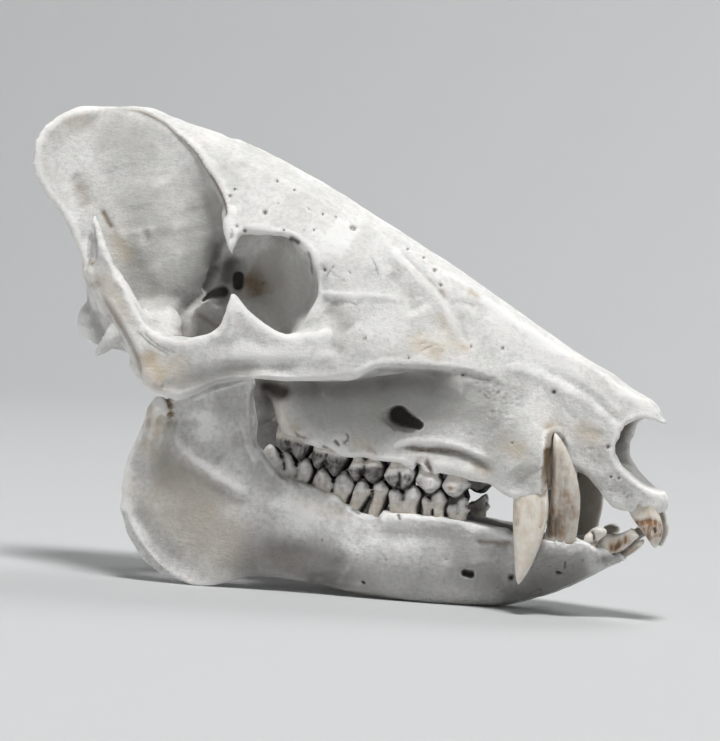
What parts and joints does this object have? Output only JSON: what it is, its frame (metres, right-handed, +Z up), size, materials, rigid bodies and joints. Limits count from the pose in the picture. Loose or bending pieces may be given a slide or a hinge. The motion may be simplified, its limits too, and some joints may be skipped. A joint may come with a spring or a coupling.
{
  "type": "javelina skull",
  "caption": "Dry javelina skull with its lower jaw and separate teeth, standing on the jaw: a natural history specimen for display or study.",
  "frame": {"origin": "centre of the bounding box in plan, on the surface that the skull stands on", "axes": "+X towards the snout, +Y to the animal's left, +Z up"},
  "size_m": [0.2372, 0.0998, 0.1693],
  "materials": {
    "bone": "dry bone, matte, with brown stains in the hollows",
    "jaw_bone": "dry bone, matte, with faint grey clouding",
    "enamel": "worn enamel, grey-brown towards the back",
    "ivory": "smooth dentine and enamel, cream with brown streaks"
  },
  "bodies": {
    "root": {"cranium": "bone", "mandible": "jaw_bone", "upper_left_molar_3": "enamel", "upper_left_molar_2": "enamel", "upper_left_molar_1": "enamel", "upper_left_premolar_4": "enamel", "upper_left_premolar_3": "enamel", "upper_left_premolar_2": "enamel", "upper_left_canine": "ivory", "upper_left_incisor": "ivory", "upper_right_molar_3": "enamel", "upper_right_molar_2": "enamel", "upper_right_molar_1": "enamel", "upper_right_premolar_4": "enamel", "upper_right_premolar_3": "enamel", "upper_right_premolar_2": "enamel", "upper_right_canine": "ivory", "upper_right_incisor": "ivory", "lower_left_molar_3": "enamel", "lower_left_molar_2": "enamel", "lower_left_molar_1": "enamel", "lower_left_premolar_4": "enamel", "lower_left_premolar_3": "enamel", "lower_left_premolar_2": "enamel", "lower_left_canine": "ivory", "lower_left_incisor_3": "ivory", "lower_left_incisor_2": "ivory", "lower_left_incisor_1": "ivory", "lower_right_molar_3": "enamel", "lower_right_molar_2": "enamel", "lower_right_molar_1": "enamel", "lower_right_premolar_4": "enamel", "lower_right_premolar_3": "enamel", "lower_right_premolar_2": "enamel", "lower_right_canine": "ivory", "lower_right_incisor_3": "ivory", "lower_right_incisor_2": "ivory", "lower_right_incisor_1": "ivory"}
  },
  "joints": []
}
